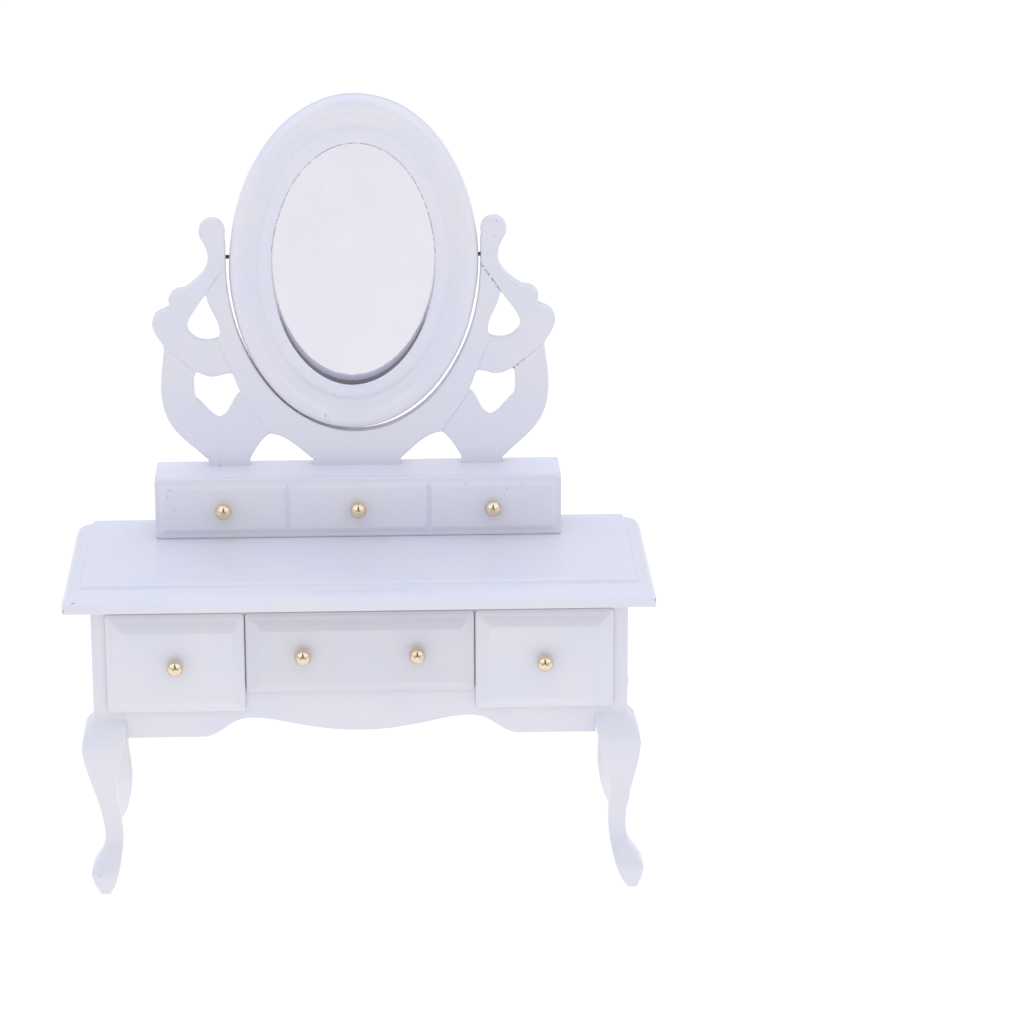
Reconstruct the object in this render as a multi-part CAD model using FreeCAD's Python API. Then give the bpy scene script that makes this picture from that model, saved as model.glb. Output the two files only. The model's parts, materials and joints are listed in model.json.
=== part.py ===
"""Dressing table for a dolls' house at one-twelfth scale, in millimetres.

A desk on four cabriole legs has three drawers that slide out towards the
front. A low riser with three dummy drawers stands on its top, and carries a
pierced yoke in which an oval mirror swings on two pins.

X runs across the table, Y from front to back, Z up. Every depth below is
measured from the front edge of the tabletop. The finished shapes move back
by half the table's depth, so the origin is on the floor under the middle.
"""
import FreeCAD, Part
import math
import os

# ---- driving dimensions ----------------------------------------------------
WIDTH = 115.0                 # tabletop, edge to edge
DEPTH = 48.0                  # tabletop, front to back
TOP_UNDER = 60.2              # underside of the tabletop
TOP_Z = 64.4                  # upper face of the tabletop
FRONT_REACH = 7.0             # width of the moulding along the front
SIDE_REACH = 4.0              # and along the two ends
LIP_RISE = 1.8                # lip under the moulding
QUIRK_DROP = 0.55             # the moulding's small step, below the top
QUIRK = 0.12                  # size of that step
QUARTER_ROUND = 1.3           # width of the round between step and field
CASE_HALF = 52.4              # half width over the side panels
CASE_FRONT = 5.3
CASE_BACK = 45.3
LEG_TOP = 37.4                # joint between the case and the leg blocks
LEG_BLOCK = 6.2               # side of the square block on top of each leg
LEG_PAD = 1.3                 # half width of the flat pad under each foot
LEG_TOE = (2.4, 4.5)          # widest point of the foot, out and up

PANEL = 3.3                   # side panels
BOARD = 2.0                   # rails, apron and back panel
PARTITION = 1.8
SHELF = 1.2                   # dust boards under the drawers

APRON_LOW = 32.8              # straight ends of the apron
APRON_SCALLOP = 30.6          # half width of the scalloped part
DRAWER_TOP = 58.5             # top edge of every drawer front
SIDE_DRAWER_LOW = 38.4
CENTRE_DRAWER_LOW = 42.2
DIVIDE = 22.4                 # centre line of each partition
DIVIDE_GAP = 0.15             # half the gap between neighbouring fronts
DRAWER_EDGE = 49.5            # outer edge of the side drawer fronts
OVERLAY = 0.6                 # how far a front laps over the frame around it

FRONT_FACE = 3.4              # flat field of a drawer front
FRONT_STEP = 3.55             # foot of the fine step round the field
FRONT_LIP = 4.3               # thin lip round the edge
FRONT_BACK = 5.15
LIP_WIDTH = 0.45
BEVEL_WIDTH = 1.75
STEP_WIDTH = 0.12

RUNNING_GAP = 0.3             # between a drawer box and the case
DRAWER_BOX_BACK = 42.0
DRAWER_SIDE = 1.1
DRAWER_FLOOR = 0.9
DRAWER_BOX_RISE = 14.2        # height of the drawer boxes

RISER_HALF = 40.8
RISER_FRONT = 34.2
RISER_BACK = 47.6
RISER_TOP = 76.8
RISER_BOARD = 2.0
RISER_RELIEF = 0.55           # dummy drawer fields stand this proud
RISER_LIP = 0.95
RISER_BEVEL = 0.95
GROOVE_AT = 14.2              # V-grooves between the dummy drawers
GROOVE_FLAT = 0.12
GROOVE_BEVEL = 0.5

KNOB_RADIUS = 1.66
KNOB_REACH = 1.72             # ball centre in front of the face
COLLAR_RADIUS = 1.0
COLLAR_LENGTH = 0.2
NECK_RADIUS = 0.65
SPIKE_RADIUS = 0.4
SPIKE_LENGTH = 1.4
SPIKE_HOLE = 0.42

YOKE_FRONT = 43.9
YOKE_BACK = 47.1
CRESCENT_FRONT = 43.75        # the crescent stands slightly proud
BRACKET_FRONT = 43.98
PIVOT_Y = 45.5
PIVOT_Z = 119.9
PIN_RADIUS = 0.4
PIN_OUTER = 28.9              # end of a pin inside the yoke's neck
PIN_INNER = 22.4              # end of a pin inside the mirror frame
PIN_HOLE = 0.46               # running hole in the mirror frame

MIRROR_Z = 118.35             # centre of the ovals
MIRROR_HALF_WIDTH = 25.1
MIRROR_HALF_HEIGHT = 34.0
MIRROR_BACK = 47.9
SIDE_CLEARANCE = 0.75         # gap between mirror and yoke, beside the mirror
LOW_CLEARANCE = 0.5           # and below it
GLASS_FRONT = 46.75
GLASS_BACK = 47.35
BACKING_BACK = 47.75
GLASS_LAP = 0.75              # glass behind the edge of the opening
RING_WIDTH = 9.0
REBATE_WIDTH = 8.0            # ring width behind the glass line

FRAME_CHAMFER = 0.35          # on the outer back edge of the mirror frame

EDGE = 0.3                    # rounding of the sanded board edges
GLUE_GAP = 0.05               # between the leg blocks and the boards beside them
NEAR = 0.01                   # how close counts as lying on a face


def V(x, y, z):
    return FreeCAD.Vector(x, y, z)


# ---- small tools -----------------------------------------------------------
def block(x0, x1, y0, y1, z0, z1):
    """A box from its limits on the three axes."""
    return Part.makeBox(x1 - x0, y1 - y0, z1 - z0, V(x0, y0, z0))


def line(p, q):
    return Part.LineSegment(p, q).toShape()


def arc(p, middle, q):
    return Part.Arc(p, middle, q).toShape()


def curve(*points):
    spline = Part.BSplineCurve()
    spline.interpolate(list(points))
    return spline.toShape()


def face_of(edges):
    return Part.Face(Part.Wire(Part.__sortEdges__(list(edges))))


def mirrored(shape):
    """The same piece on the other side of the middle plane."""
    return shape.mirror(V(0, 0, 0), V(1, 0, 0))


def round_edges(shape, radius, chosen):
    """Fillet the edges that the test picks out by their middle point."""
    edges = [e for e in shape.Edges if chosen(e.BoundBox.Center, e)]
    return shape.makeFillet(radius, edges)


def rectangle_wire(x0, x1, z0, z1, y):
    corners = [V(x0, y, z0), V(x1, y, z0), V(x1, y, z1), V(x0, y, z1)]
    return Part.makePolygon(corners + corners[:1])


def frustum(outer, inner, y_outer, y_inner):
    """A raised bevel from one rectangle (x0, x1, z0, z1) to a smaller one."""
    low = rectangle_wire(*outer, y_outer)
    high = rectangle_wire(*inner, y_inner)
    return Part.makeLoft([low, high], True, True)


def inset(rectangle, amount):
    x0, x1, z0, z1 = rectangle
    return (x0 + amount, x1 - amount, z0 + amount, z1 - amount)


def spike_hole(x, z, face):
    """The hole that a knob's spike is pushed into."""
    depth = SPIKE_LENGTH + EDGE
    return Part.makeCylinder(SPIKE_HOLE, depth, V(x, face, z), V(0, 1, 0))


# ---- tabletop --------------------------------------------------------------
def moulded_edge(reach, low_rise, quirk_rise, place):
    """Edges of the moulding, from the underside up to the flat field.

    reach is the moulding's width. place turns a distance in from the edge and
    a height into a point. A round lip is followed by a wide ovolo, a small
    step, and a quarter round that ends level with the field.
    """
    quirk = reach - QUARTER_ROUND
    lip_top = TOP_UNDER + low_rise
    quirk_z = TOP_Z - quirk_rise
    corner = EDGE * (1.0 - math.sqrt(0.5))

    def ovolo(low, high):
        """An arc that rises from low and ends level at high."""
        run, rise = high[0] - low[0], high[1] - low[1]
        radius = (run ** 2 + rise ** 2) / (2 * rise)
        half_turn = math.asin(run / radius) / 2
        back = radius * math.sin(half_turn)
        drop = radius * (1 - math.cos(half_turn))
        return arc(place(*low), place(high[0] - back, high[1] - drop), place(*high))

    return [
        arc(place(EDGE, TOP_UNDER), place(corner, TOP_UNDER + corner), place(0, TOP_UNDER + EDGE)),
        line(place(0, TOP_UNDER + EDGE), place(0, lip_top)),
        ovolo((0, lip_top), (quirk, quirk_z)),
        line(place(quirk, quirk_z), place(quirk + QUIRK, quirk_z + QUIRK)),
        ovolo((quirk + QUIRK, quirk_z + QUIRK), (reach, TOP_Z)),
    ]


def tabletop():
    """Two moulded sections crossed, so that the mouldings mitre."""
    front = moulded_edge(FRONT_REACH, LIP_RISE, QUIRK_DROP, lambda d, z: V(-WIDTH, d, z))
    back_top = V(-WIDTH, DEPTH, TOP_Z)
    back_low = V(-WIDTH, DEPTH, TOP_UNDER)
    front += [
        line(V(-WIDTH, FRONT_REACH, TOP_Z), back_top),
        line(back_top, back_low),
        line(back_low, V(-WIDTH, EDGE, TOP_UNDER)),
    ]
    along = face_of(front).extrude(V(2 * WIDTH, 0, 0))

    half = WIDTH / 2
    reach = SIDE_REACH
    right = moulded_edge(reach, LIP_RISE, QUIRK_DROP, lambda d, z: V(half - d, -DEPTH, z))
    left = moulded_edge(reach, LIP_RISE, QUIRK_DROP, lambda d, z: V(d - half, -DEPTH, z))
    ends = [
        line(V(reach - half, -DEPTH, TOP_Z), V(half - reach, -DEPTH, TOP_Z)),
        line(V(EDGE - half, -DEPTH, TOP_UNDER), V(half - EDGE, -DEPTH, TOP_UNDER)),
    ]
    across = face_of(right + left + ends).extrude(V(0, 3 * DEPTH, 0))
    return along.common(across)


# ---- case ------------------------------------------------------------------
def side_panel():
    """Right side: a board that drops between the leg blocks."""
    x0, x1 = CASE_HALF - PANEL, CASE_HALF
    upper = block(x0, x1, CASE_FRONT, CASE_BACK, LEG_TOP, TOP_UNDER)
    clear = LEG_BLOCK + GLUE_GAP
    lower = block(x0, x1, CASE_FRONT + clear, CASE_BACK - clear, APRON_LOW, LEG_TOP)
    panel = upper.fuse(lower).removeSplitter()
    full_height = TOP_UNDER - LEG_TOP
    return round_edges(panel, EDGE, lambda c, e: c.x > x1 - NEAR and e.BoundBox.ZLength > full_height - NEAR)


def case_back():
    half = CASE_HALF - PANEL
    return block(-half, half, CASE_BACK - BOARD, CASE_BACK, LEG_TOP, TOP_UNDER)


def apron_curve(y):
    """Lower edge of the apron, from its left straight end to the right one."""
    wave = [(APRON_SCALLOP, APRON_LOW), (28.6, 33.45), (26.2, 35.0), (23.8, 36.3), (21.4, 36.65),
            (18.2, 36.4), (12.0, 35.15), (6.0, 34.15)]
    left = [V(-x, y, z) for x, z in wave]
    right = [V(x, y, z) for x, z in reversed(wave)]
    return curve(*left, V(0, y, 33.8), *right)


def front_apron():
    """One sawn board: rail behind the fronts, scalloped apron below them."""
    y = CASE_FRONT
    wide, bay = CASE_HALF - PANEL, DIVIDE + PARTITION / 2
    narrow = CASE_HALF - LEG_BLOCK - GLUE_GAP
    side_top = SIDE_DRAWER_LOW + OVERLAY
    centre_top = CENTRE_DRAWER_LOW + OVERLAY
    half = [(APRON_SCALLOP, APRON_LOW), (narrow, APRON_LOW), (narrow, LEG_TOP), (wide, LEG_TOP),
            (wide, side_top), (bay, side_top), (bay, centre_top)]
    edges = []
    for sign in (-1, 1):
        points = [V(sign * x, y, z) for x, z in half]
        edges += [line(p, q) for p, q in zip(points, points[1:])]
    edges.append(line(V(-bay, y, centre_top), V(bay, y, centre_top)))
    edges.append(apron_curve(y))
    return face_of(edges).extrude(V(0, BOARD, 0))


def top_rail():
    half = CASE_HALF - PANEL
    return block(-half, half, CASE_FRONT, CASE_FRONT + BOARD, DRAWER_TOP - OVERLAY, TOP_UNDER)


def partition():
    """Right partition, notched round the apron board and the top rail."""
    x0, x1 = DIVIDE - PARTITION / 2, DIVIDE + PARTITION / 2
    side_top = SIDE_DRAWER_LOW + OVERLAY
    board_back = CASE_FRONT + BOARD
    deep = block(x0, x1, board_back, CASE_BACK - BOARD, side_top - SHELF, TOP_UNDER)
    nose = block(x0, x1, CASE_FRONT, board_back, CENTRE_DRAWER_LOW + OVERLAY, DRAWER_TOP - OVERLAY)
    return deep.fuse(nose).removeSplitter()


def dust_board(x0, x1, top):
    return block(x0, x1, CASE_FRONT + BOARD, CASE_BACK - BOARD, top - SHELF, top)


# ---- legs ------------------------------------------------------------------
def leg_outline(place):
    """The sawn cabriole outline. place takes (distance out, height)."""
    knee = [(0.0, LEG_TOP), (1.0, 36.0), (2.1, 33.6), (2.6, 31.3)]
    calf = [(2.6, 31.3), (2.2, 28.2), (1.15, 23.5), (-0.05, 18.5), (-0.7, 13.8), (-0.5, 10.4), (0.5, 8.3),
            (1.8, 6.5), LEG_TOE]
    inner = [(-LEG_PAD, 0.0), (-2.75, 4.0), (-3.85, 8.5), (-4.15, 13.5), (-3.8, 18.0), (-3.85, 23.0),
             (-5.0, 28.5), (-5.95, 33.0), (-LEG_BLOCK, LEG_TOP)]
    return face_of([
        curve(*[place(*p) for p in knee]),
        curve(*[place(*p) for p in calf]),
        line(place(*LEG_TOE), place(LEG_PAD, 0.0)),
        line(place(LEG_PAD, 0.0), place(-LEG_PAD, 0.0)),
        curve(*[place(*p) for p in inner]),
        line(place(-LEG_BLOCK, LEG_TOP), place(0.0, LEG_TOP)),
    ])


def front_leg():
    """Right front leg, sawn to the same outline on both faces."""
    margin = 2 * LEG_BLOCK
    from_front = leg_outline(lambda d, z: V(CASE_HALF + d, CASE_FRONT - margin, z))
    from_side = leg_outline(lambda d, z: V(CASE_HALF - margin, CASE_FRONT - d, z))
    sawn = from_front.extrude(V(0, 2 * margin, 0))
    return sawn.common(from_side.extrude(V(2 * margin, 0, 0)))


def turned_back(leg):
    """The same leg at the back of the case, facing backwards."""
    return leg.mirror(V(0, (CASE_FRONT + CASE_BACK) / 2, 0), V(0, 1, 0))


# ---- knobs -----------------------------------------------------------------
def knob(x, z, face):
    """A turned brass ball with a collar, and a spike into the wood."""
    centre = face - KNOB_REACH
    back_dip = math.sqrt(KNOB_RADIUS ** 2 - NECK_RADIUS ** 2)
    spike = Part.makeCylinder(SPIKE_RADIUS, SPIKE_LENGTH, V(x, face, z), V(0, 1, 0))
    collar = Part.makeCylinder(COLLAR_RADIUS, COLLAR_LENGTH, V(x, face - COLLAR_LENGTH, z), V(0, 1, 0))
    neck = Part.makeCylinder(NECK_RADIUS, KNOB_REACH - back_dip, V(x, centre + back_dip, z), V(0, 1, 0))
    ball = Part.makeSphere(KNOB_RADIUS, V(x, centre, z))
    return ball.fuse([neck, collar, spike]).removeSplitter()


# ---- drawers ---------------------------------------------------------------
def raised_front(rectangle, knob_places):
    """A drawer front: lip, bevel, fine step and raised field."""
    x0, x1, z0, z1 = rectangle
    foot = inset(rectangle, LIP_WIDTH)
    crest = inset(foot, BEVEL_WIDTH)
    field = inset(crest, STEP_WIDTH)
    board = block(x0, x1, FRONT_LIP, FRONT_BACK, z0, z1)
    bevel = frustum(foot, crest, FRONT_LIP, FRONT_STEP)
    fx0, fx1, fz0, fz1 = field
    raised = block(fx0, fx1, FRONT_FACE, FRONT_STEP, fz0, fz1)
    front = board.fuse([bevel, raised]).removeSplitter()
    for x, z in knob_places:
        front = front.cut(spike_hole(x, z, FRONT_FACE))
    return front


def drawer(name, rectangle, bay, knob_xs):
    """All pieces of one drawer. bay is (x0, x1, top of the dust board)."""
    x0, x1, z0, z1 = rectangle
    knob_z = (z0 + z1) / 2
    places = [(x, knob_z) for x in knob_xs]
    left, right = bay[0] + RUNNING_GAP, bay[1] - RUNNING_GAP
    low = bay[2] + RUNNING_GAP
    high = min(low + DRAWER_BOX_RISE, DRAWER_TOP - OVERLAY - RUNNING_GAP)
    inner_left, inner_right = left + DRAWER_SIDE, right - DRAWER_SIDE
    back_front = DRAWER_BOX_BACK - DRAWER_SIDE
    floor_top = low + DRAWER_FLOOR
    pieces = {
        "front": raised_front(rectangle, places),
        "left_side": block(left, inner_left, FRONT_BACK, DRAWER_BOX_BACK, low, high),
        "right_side": block(inner_right, right, FRONT_BACK, DRAWER_BOX_BACK, low, high),
        "back": block(inner_left, inner_right, back_front, DRAWER_BOX_BACK, low, high),
        "bottom": block(inner_left, inner_right, FRONT_BACK, back_front, low, floor_top),
    }
    nodes = {f"{name}_drawer_{part}": shape for part, shape in pieces.items()}
    endings = ["knob"] if len(knob_xs) == 1 else ["left_knob", "right_knob"]
    for ending, (x, z) in zip(endings, places):
        nodes[f"{name}_drawer_{ending}"] = knob(x, z, FRONT_FACE)
    return nodes


def all_drawers():
    inner_edge = DIVIDE + DIVIDE_GAP
    bay_edge = DIVIDE + PARTITION / 2
    bay_outer = CASE_HALF - PANEL
    side_shelf = SIDE_DRAWER_LOW + OVERLAY
    middle = (inner_edge + DRAWER_EDGE) / 2
    centre_half = DIVIDE - DIVIDE_GAP
    nodes = drawer("left", (-DRAWER_EDGE, -inner_edge, SIDE_DRAWER_LOW, DRAWER_TOP),
                   (-bay_outer, -bay_edge, side_shelf), [-middle])
    nodes.update(drawer("centre", (-centre_half, centre_half, CENTRE_DRAWER_LOW, DRAWER_TOP),
                        (PARTITION / 2 - DIVIDE, DIVIDE - PARTITION / 2, CENTRE_DRAWER_LOW + OVERLAY),
                        [-centre_half / 2, centre_half / 2]))
    nodes.update(drawer("right", (inner_edge, DRAWER_EDGE, SIDE_DRAWER_LOW, DRAWER_TOP),
                        (bay_edge, bay_outer, side_shelf), [middle]))
    return nodes


# ---- riser -----------------------------------------------------------------
def riser_knob_places():
    z = (TOP_Z + RISER_TOP) / 2
    side = (GROOVE_AT + RISER_HALF - RISER_LIP) / 2
    return {"left": (-side, z), "centre": (0.0, z), "right": (side, z)}


def riser_block():
    body = block(-RISER_HALF, RISER_HALF, RISER_FRONT + RISER_BOARD, RISER_BACK, TOP_Z, RISER_TOP)
    return round_edges(body, EDGE, lambda c, e: abs(c.x) > RISER_HALF - NEAR and c.z > TOP_Z + NEAR
                       and c.y > RISER_FRONT + RISER_BOARD + NEAR)


def riser_front():
    """One board carved to look like three small drawers."""
    lip_y = RISER_FRONT + RISER_RELIEF
    front = block(-RISER_HALF, RISER_HALF, lip_y, RISER_FRONT + RISER_BOARD, TOP_Z, RISER_TOP)
    z0, z1 = TOP_Z + RISER_LIP, RISER_TOP - RISER_LIP
    outer = RISER_HALF - RISER_LIP
    near, far = GROOVE_AT - GROOVE_FLAT, GROOVE_AT + GROOVE_FLAT
    panels = [
        (-outer, -far, RISER_BEVEL, GROOVE_BEVEL),
        (-near, near, GROOVE_BEVEL, GROOVE_BEVEL),
        (far, outer, GROOVE_BEVEL, RISER_BEVEL),
    ]
    for x0, x1, left_bevel, right_bevel in panels:
        field = (x0 + left_bevel, x1 - right_bevel, z0 + RISER_BEVEL, z1 - RISER_BEVEL)
        front = front.fuse(frustum((x0, x1, z0, z1), field, lip_y, RISER_FRONT))
    front = front.removeSplitter()
    for x, z in riser_knob_places().values():
        front = front.cut(spike_hole(x, z, RISER_FRONT))
    return front


# ---- yoke ------------------------------------------------------------------
def on_yoke(x, z):
    return V(x, 0, z)


def yoke_plate(edges, front):
    """A sawn piece of the yoke, from its outline."""
    plate = face_of(edges)
    plate.translate(V(0, front, 0))
    return plate.extrude(V(0, YOKE_BACK - front, 0))


def smooth(*points):
    return curve(*[on_yoke(x, z) for x, z in points])


def straight(*points):
    spots = [on_yoke(x, z) for x, z in points]
    return [line(p, q) for p, q in zip(spots, spots[1:])]


INNER_HALF_WIDTH = MIRROR_HALF_WIDTH + SIDE_CLEARANCE
INNER_HALF_HEIGHT = MIRROR_HALF_HEIGHT + LOW_CLEARANCE

# corners where the sawn pieces of the yoke meet, on the right side
TIP = (INNER_HALF_WIDTH, MIRROR_Z)              # top of the crescent
TEAR_TOP = (29.8, 112.7)                        # point of the teardrop hole
TEAR_FOOT = (27.7, 103.1)                       # its lower inner corner
SHIELD_INNER = (24.9, 96.1)                     # shield hole, inner corner
SHIELD_TIP = (23.3, 91.9)                       # its point towards the mirror
SHIELD_OUTER = (32.3, 96.7)                     # its upper outer corner
SHIELD_FOOT = (27.8, 86.5)                      # its lowest point
NOTCH = (38.6, 101.8)                           # hollow under the lobe
ARCH_TOP = (17.6, 83.5)                         # top of the arch over the riser
FOOT_INNER = (21.9, 78.0)
FOOT_OUTER = (30.2, 78.0)
CENTRE_FOOT = (8.9, 78.0)

# half widths where the feet stand on the riser, from the middle outwards
STAND_CENTRE = 9.3
STAND_INNER = 21.4
STAND_OUTER = 29.5


def crescent():
    """The inner band, round the lower half of the mirror, with a wide foot."""
    centre, top = V(0, 0, MIRROR_Z), V(0, 0, MIRROR_Z + INNER_HALF_HEIGHT)
    oval = Part.Ellipse(top, V(INNER_HALF_WIDTH, 0, MIRROR_Z), centre)
    inner = oval.toShape(0.5 * math.pi, 1.5 * math.pi)
    right = [
        *straight(TIP, TEAR_TOP),
        smooth(TEAR_TOP, (28.55, 108.6), (27.35, 105.4), TEAR_FOOT),
        *straight(TEAR_FOOT, SHIELD_INNER),
        smooth(SHIELD_INNER, (24.3, 94.2), SHIELD_TIP),
        *straight(SHIELD_TIP, ARCH_TOP),
        smooth(ARCH_TOP, (14.6, 82.5), (11.6, 80.3), CENTRE_FOOT),
        *straight(CENTRE_FOOT, (STAND_CENTRE, RISER_TOP), (0, RISER_TOP)),
    ]
    left = [mirrored(edge) for edge in right]
    return yoke_plate([inner] + right + left, CRESCENT_FRONT)


def scroll():
    """Right arm: finial, neck, bump and lobe, with the bridge to the crescent."""
    finial = Part.Arc(V(26.0, 0, 124.3), V(28.5, 0, 127.8), V(30.8, 0, 123.9)).toShape()
    edges = [
        *straight(TIP, (INNER_HALF_WIDTH, 121.4)),
        smooth((INNER_HALF_WIDTH, 121.4), (25.85, 122.8), (26.0, 124.3)),
        finial,
        smooth((30.8, 123.9), (29.75, 121.9), (29.4, 119.8), (30.2, 117.3), (32.2, 115.1), (34.3, 113.55)),
        smooth((34.3, 113.55), (36.3, 113.15), (37.4, 111.8), (36.9, 110.0)),
        smooth((36.9, 110.0), (38.6, 109.3), (40.3, 108.2), (40.85, 106.4), (40.2, 104.3), NOTCH),
        *straight(NOTCH, SHIELD_OUTER),
        smooth(SHIELD_OUTER, (30.7, 95.9), (28.6, 95.5), (26.7, 95.95), SHIELD_INNER),
        *straight(SHIELD_INNER, TEAR_FOOT),
        smooth(TEAR_FOOT, (29.2, 102.75), (31.2, 102.9), (33.0, 104.0), (33.8, 105.6), (32.7, 108.6),
               (31.3, 110.6), TEAR_TOP),
        *straight(TEAR_TOP, TIP),
    ]
    return yoke_plate(edges, YOKE_FRONT)


def bracket():
    """Right outer bow under the lobe, down to the riser."""
    edges = [
        smooth(NOTCH, (39.0, 98.5), (39.4, 94.5), (39.1, 89.5), (37.6, 85.6), (34.6, 82.1), FOOT_OUTER),
        *straight(FOOT_OUTER, (STAND_OUTER, RISER_TOP), (SHIELD_FOOT[0], RISER_TOP), SHIELD_FOOT),
        smooth(SHIELD_FOOT, (29.0, 87.2), (30.7, 89.0), (32.4, 90.7)),
        smooth((32.4, 90.7), (32.7, 93.6), SHIELD_OUTER),
        *straight(SHIELD_OUTER, NOTCH),
    ]
    return yoke_plate(edges, BRACKET_FRONT)


def yoke_foot():
    """Right foot block between the crescent and the bow."""
    edges = [
        smooth(SHIELD_FOOT, (26.5, 87.5), (25.2, 89.8), SHIELD_TIP),
        *straight(SHIELD_TIP, ARCH_TOP),
        smooth(ARCH_TOP, (19.4, 81.9), (20.8, 79.9), FOOT_INNER),
        *straight(FOOT_INNER, (STAND_INNER, RISER_TOP), (SHIELD_FOOT[0], RISER_TOP), SHIELD_FOOT),
    ]
    return yoke_plate(edges, BRACKET_FRONT)


def pin_cylinder(radius, x0, x1):
    return Part.makeCylinder(radius, x1 - x0, V(x0, PIVOT_Y, PIVOT_Z), V(1, 0, 0))


# ---- mirror ----------------------------------------------------------------
def oval_wire(half_width, half_height, y):
    centre = V(0, y, MIRROR_Z)
    oval = Part.Ellipse(V(0, y, MIRROR_Z + half_height), V(half_width, y, MIRROR_Z), centre)
    return Part.Wire(oval.toShape())


def oval_plate(half_width, half_height, y0, y1):
    return Part.Face(oval_wire(half_width, half_height, y0)).extrude(V(0, y1 - y0, 0))


def frame_section():
    """Moulded section of the oval frame, at its right-hand end.

    t is the distance in from the outer edge: a fat outer roll, a shallow
    cove, a fine step and an inner bead that drops to the opening.
    """
    def at(t, y):
        return V(MIRROR_HALF_WIDTH - t, y, MIRROR_Z)

    return [
        line(at(FRAME_CHAMFER, MIRROR_BACK), at(0.0, MIRROR_BACK - FRAME_CHAMFER)),
        line(at(0.0, MIRROR_BACK - FRAME_CHAMFER), at(0.0, 44.9)),
        arc(at(0.0, 44.9), at(0.55, 43.55), at(1.9, 43.1)),
        arc(at(1.9, 43.1), at(2.8, 43.28), at(3.5, 43.75)),
        arc(at(3.5, 43.75), at(4.9, 44.08), at(6.2, 43.95)),
        line(at(6.2, 43.95), at(6.35, 43.6)),
        arc(at(6.35, 43.6), at(7.5, 43.3), at(8.6, 43.5)),
        line(at(8.6, 43.5), at(RING_WIDTH, 43.9)),
        line(at(RING_WIDTH, 43.9), at(RING_WIDTH, GLASS_FRONT)),
        line(at(RING_WIDTH, GLASS_FRONT), at(REBATE_WIDTH, GLASS_FRONT)),
        line(at(REBATE_WIDTH, GLASS_FRONT), at(REBATE_WIDTH, MIRROR_BACK)),
        line(at(REBATE_WIDTH, MIRROR_BACK), at(FRAME_CHAMFER, MIRROR_BACK)),
    ]


def mirror_frame():
    section = Part.Wire(Part.__sortEdges__(frame_section()))
    path = oval_wire(MIRROR_HALF_WIDTH, MIRROR_HALF_HEIGHT, MIRROR_BACK)
    ring = path.makePipeShell([section], True, True)
    near, far = PIN_INNER - EDGE, MIRROR_HALF_WIDTH + EDGE
    ring = ring.cut(pin_cylinder(PIN_HOLE, -far, -near))
    return ring.cut(pin_cylinder(PIN_HOLE, near, far))


def glass_plate(y0, y1):
    lap = RING_WIDTH - GLASS_LAP
    return oval_plate(MIRROR_HALF_WIDTH - lap, MIRROR_HALF_HEIGHT - lap, y0, y1)


# ---- the whole table -------------------------------------------------------
def build():
    nodes = {"tabletop": tabletop()}

    pairs = {
        "side_panel": side_panel(),
        "partition": partition(),
        "front_leg": front_leg(),
        "yoke_bracket": bracket(),
        "yoke_foot": yoke_foot(),
    }
    pairs["rear_leg"] = turned_back(pairs["front_leg"])
    neck_hole = pin_cylinder(PIN_RADIUS + NEAR, INNER_HALF_WIDTH - EDGE, PIN_OUTER)
    pairs["yoke_scroll"] = scroll().cut(neck_hole)
    pairs["pivot_pin"] = pin_cylinder(PIN_RADIUS, PIN_INNER, PIN_OUTER)
    for name, shape in pairs.items():
        nodes[f"right_{name}"] = shape
        nodes[f"left_{name}"] = mirrored(shape)

    nodes["back_panel"] = case_back()
    nodes["front_apron"] = front_apron()
    nodes["top_rail"] = top_rail()
    bay = DIVIDE + PARTITION / 2
    outer = CASE_HALF - PANEL
    nodes["left_dust_board"] = dust_board(-outer, -bay, SIDE_DRAWER_LOW + OVERLAY)
    nodes["right_dust_board"] = dust_board(bay, outer, SIDE_DRAWER_LOW + OVERLAY)
    nodes["centre_dust_board"] = dust_board(PARTITION / 2 - DIVIDE, DIVIDE - PARTITION / 2,
                                            CENTRE_DRAWER_LOW + OVERLAY)
    nodes.update(all_drawers())

    nodes["riser_block"] = riser_block()
    nodes["riser_front"] = riser_front()
    for side, (x, z) in riser_knob_places().items():
        nodes[f"riser_{side}_knob"] = knob(x, z, RISER_FRONT)

    nodes["yoke_crescent"] = crescent()
    nodes["mirror_frame"] = mirror_frame()
    nodes["mirror_glass"] = glass_plate(GLASS_FRONT, GLASS_BACK)
    nodes["mirror_backing"] = glass_plate(GLASS_BACK, BACKING_BACK)
    return nodes


os.makedirs("parts", exist_ok=True)
for name, shape in build().items():
    shape.translate(V(0, -DEPTH / 2, 0))
    shape.exportStep(f"parts/{name}.step")
    box = shape.BoundBox
    print(f"{name:26s} solids {len(shape.Solids)} valid {shape.isValid()} volume {shape.Volume:9.2f} "
          f"x {box.XMin:.2f} {box.XMax:.2f} y {box.YMin:.2f} {box.YMax:.2f} z {box.ZMin:.2f} {box.ZMax:.2f}")
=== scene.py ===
"""Looks of a dolls' house dressing table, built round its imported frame.

Lengths written as numbers are in millimetres and are turned into metres where
a mesh is made. Across, deep and high are X, Y and Z of the frame. White
lacquer lies thick on every board, so its edges are round and its mouldings
soft. The camera looks down from the front.
"""

import functools
import json
import math

import bmesh
import bpy
import numpy as np
from mathutils import Matrix, Vector, noise
from mathutils.bvhtree import BVHTree


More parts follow.
